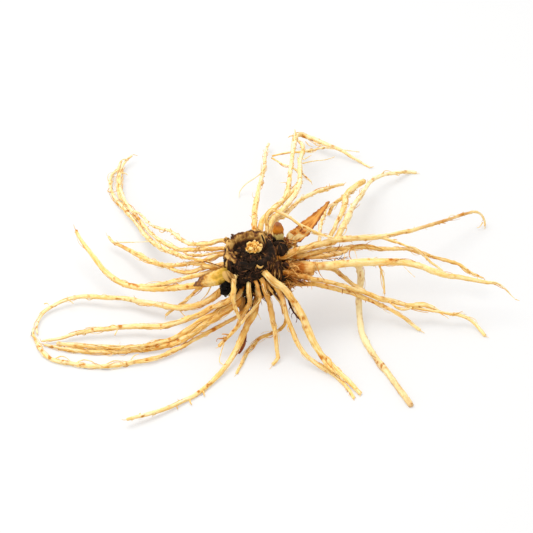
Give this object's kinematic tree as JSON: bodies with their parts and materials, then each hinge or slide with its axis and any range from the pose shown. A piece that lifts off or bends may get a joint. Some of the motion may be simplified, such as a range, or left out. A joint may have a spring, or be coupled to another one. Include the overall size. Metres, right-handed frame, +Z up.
{
  "type": "valerian root",
  "caption": "Dried valerian root: a short dark rhizome with a cut top, propped on long pale roots that fan out from it.",
  "frame": {"origin": "middle of the whole root's base, on the surface that the root tips lie on", "axes": "+X to the right in the picture, +Y away from its viewer, +Z up"},
  "size_m": [0.1942, 0.1826, 0.0473],
  "materials": {
    "root_skin": "dry, finely wrinkled lengthwise, matt",
    "dark_bark": "rough, crumbling, matt",
    "pith": "crumbly, matt",
    "amber_bud": "papery, low sheen",
    "olive_bud": "papery, low sheen",
    "cut_shoot": "dry stalk, cut end, matt",
    "sheath": "papery, low sheen",
    "soil": "crumbly, matt",
    "stolon_skin": "dry, wrinkled lengthwise, matt",
    "dead_root": "dry, brittle, matt"
  },
  "bodies": {
    "root": {"rhizome": "dark_bark", "pith": "pith", "bud_left": "olive_bud", "bud_top": "amber_bud", "cut_shoot": "cut_shoot", "leaf_sheath": "sheath", "soil_crumb": "soil", "stolon": "stolon_skin", "root_back_left_upper": "root_skin", "root_back_left_middle": "root_skin", "root_back_left_torn": "root_skin", "root_left_fork": "root_skin", "root_left_hook": "root_skin", "root_left_short": "root_skin", "root_loop_upper": "root_skin", "root_loop_outer": "root_skin", "root_left_low": "root_skin", "root_left_bundle": "root_skin", "root_front_short": "root_skin", "root_front_knotted": "root_skin", "root_front_thin": "root_skin", "root_front_long": "root_skin", "root_front_dead": "dead_root", "root_floor": "root_skin", "root_front_bent": "root_skin", "root_front_right_thin": "root_skin", "root_front_right_inner": "root_skin", "root_front_right_thick": "root_skin", "root_front_right_dark": "dead_root", "root_right_upper": "root_skin", "root_right_matted": "root_skin", "root_right_main": "root_skin", "root_right_lower_upper": "root_skin", "root_right_lower": "root_skin", "root_back_left_straight": "root_skin", "root_back_pair": "root_skin", "root_back_right_arm": "root_skin", "root_top_arch": "root_skin", "root_back_right_pale": "root_skin", "root_back_right_forked": "root_skin", "root_back_right_long": "root_skin"}
  },
  "joints": []
}
